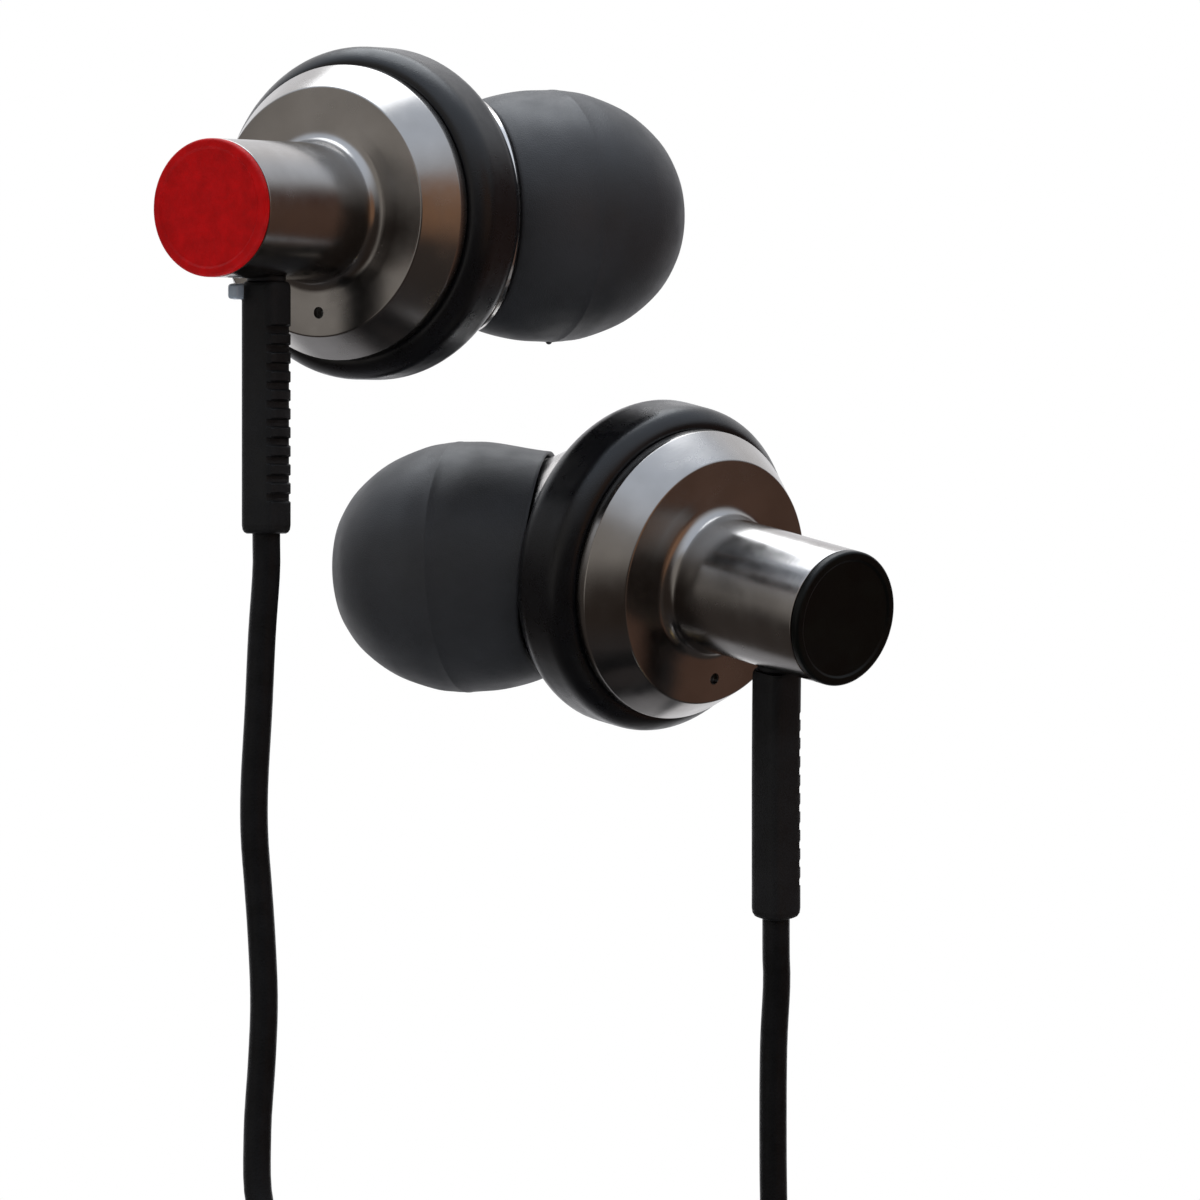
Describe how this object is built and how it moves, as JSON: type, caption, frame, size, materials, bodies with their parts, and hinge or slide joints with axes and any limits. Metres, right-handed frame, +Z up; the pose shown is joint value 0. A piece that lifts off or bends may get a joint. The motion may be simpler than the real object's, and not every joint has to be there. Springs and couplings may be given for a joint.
{
  "type": "wired earphones",
  "caption": "In-ear earphones with angled metal housings, stems, rubber bumper rings and silicone tips on a split cord with a straight 3.5 mm plug.",
  "frame": {"origin": "centre of the right ear tip's mouth, where an ear holds the pair", "axes": "+Z up, the way the cords hang; +X from the right earphone towards the left one; +Y from the stem side towards the ear"},
  "size_m": [0.0533, 0.0768, 0.0733],
  "materials": {
    "gunmetal": "polished dark nickel plating",
    "polished_steel": "bright polished",
    "black_rubber": "smooth black rubber",
    "tip_silicone": "matte silicone",
    "cord_jacket": "satin elastomer jacket",
    "black_plastic": "moulded, fine texture",
    "red_enamel": "satin enamel",
    "black_enamel": "satin enamel",
    "magnet_nickel": "nickel plated",
    "copper": "enamelled copper wire",
    "diaphragm_film": "thin clear film",
    "terminal_board": "solder mask",
    "damping_felt": "felt",
    "marker_plastic": "glossy",
    "contact_gold": "gold plated"
  },
  "bodies": {
    "root": {"cord_coil": "cord_jacket", "cord_tie": "black_rubber", "left_bumper_ring": "black_rubber", "left_cord_anchor": "black_plastic", "left_cord_lower": "cord_jacket", "left_cord_upper": "cord_jacket", "left_driver_frame": "black_plastic", "left_driver_yoke": "magnet_nickel", "left_end_cap": "black_enamel", "left_front_shell": "polished_steel", "left_ground_wire": "copper", "left_magnet": "magnet_nickel", "left_nozzle_mesh": "polished_steel", "left_rear_shell": "gunmetal", "left_signal_wire": "copper", "left_strain_relief": "black_rubber", "left_terminal_board": "terminal_board", "left_top_plate": "magnet_nickel", "left_vent_screen": "damping_felt", "main_cord_lower": "cord_jacket", "main_cord_upper": "cord_jacket", "plug_boot": "black_rubber", "plug_front_insulator": "black_plastic", "plug_rear_insulator": "black_plastic", "plug_ring_contact": "contact_gold", "plug_shell": "gunmetal", "plug_sleeve": "contact_gold", "plug_tip_contact": "contact_gold", "right_bumper_ring": "black_rubber", "right_cord_anchor": "black_plastic", "right_cord_lower": "cord_jacket", "right_cord_upper": "cord_jacket", "right_driver_frame": "black_plastic", "right_driver_yoke": "magnet_nickel", "right_end_cap": "red_enamel", "right_front_shell": "polished_steel", "right_ground_wire": "copper", "right_magnet": "magnet_nickel", "right_nozzle_mesh": "polished_steel", "right_rear_shell": "gunmetal", "right_side_marker": "marker_plastic", "right_signal_wire": "copper", "right_strain_relief": "black_rubber", "right_terminal_board": "terminal_board", "right_top_plate": "magnet_nickel", "right_vent_screen": "damping_felt", "splitter": "black_plastic"},
    "right_tip": {"right_ear_tip": "tip_silicone"},
    "left_tip": {"left_ear_tip": "tip_silicone"},
    "right_cone": {"right_diaphragm": "diaphragm_film", "right_voice_coil": "copper"},
    "left_cone": {"left_diaphragm": "diaphragm_film", "left_voice_coil": "copper"},
    "slider": {"cinch_slider": "black_plastic"}
  },
  "joints": [
    {"name": "right_tip_pull_off", "type": "slide", "parent": "root", "child": "right_tip", "axis": [0.9026, 0.4305, 0], "range_m": [0, 0.0075]},
    {"name": "left_tip_pull_off", "type": "slide", "parent": "root", "child": "left_tip", "axis": [-0.9495, 0.312, -0.0344], "range_m": [0, 0.0075]},
    {"name": "right_diaphragm_stroke", "type": "slide", "parent": "root", "child": "right_cone", "axis": [-0.5664, -0.8241, 0], "range_m": [-0.0002, 0.0002], "stiffness_N_per_m": 120},
    {"name": "left_diaphragm_stroke", "type": "slide", "parent": "root", "child": "left_cone", "axis": [0.6907, -0.6956, -0.1977], "range_m": [-0.0002, 0.0002], "stiffness_N_per_m": 120},
    {"name": "slider_on_cords", "type": "slide", "parent": "root", "child": "slider", "axis": [0, -1, 0], "range_m": [0, 0.005]}
  ]
}
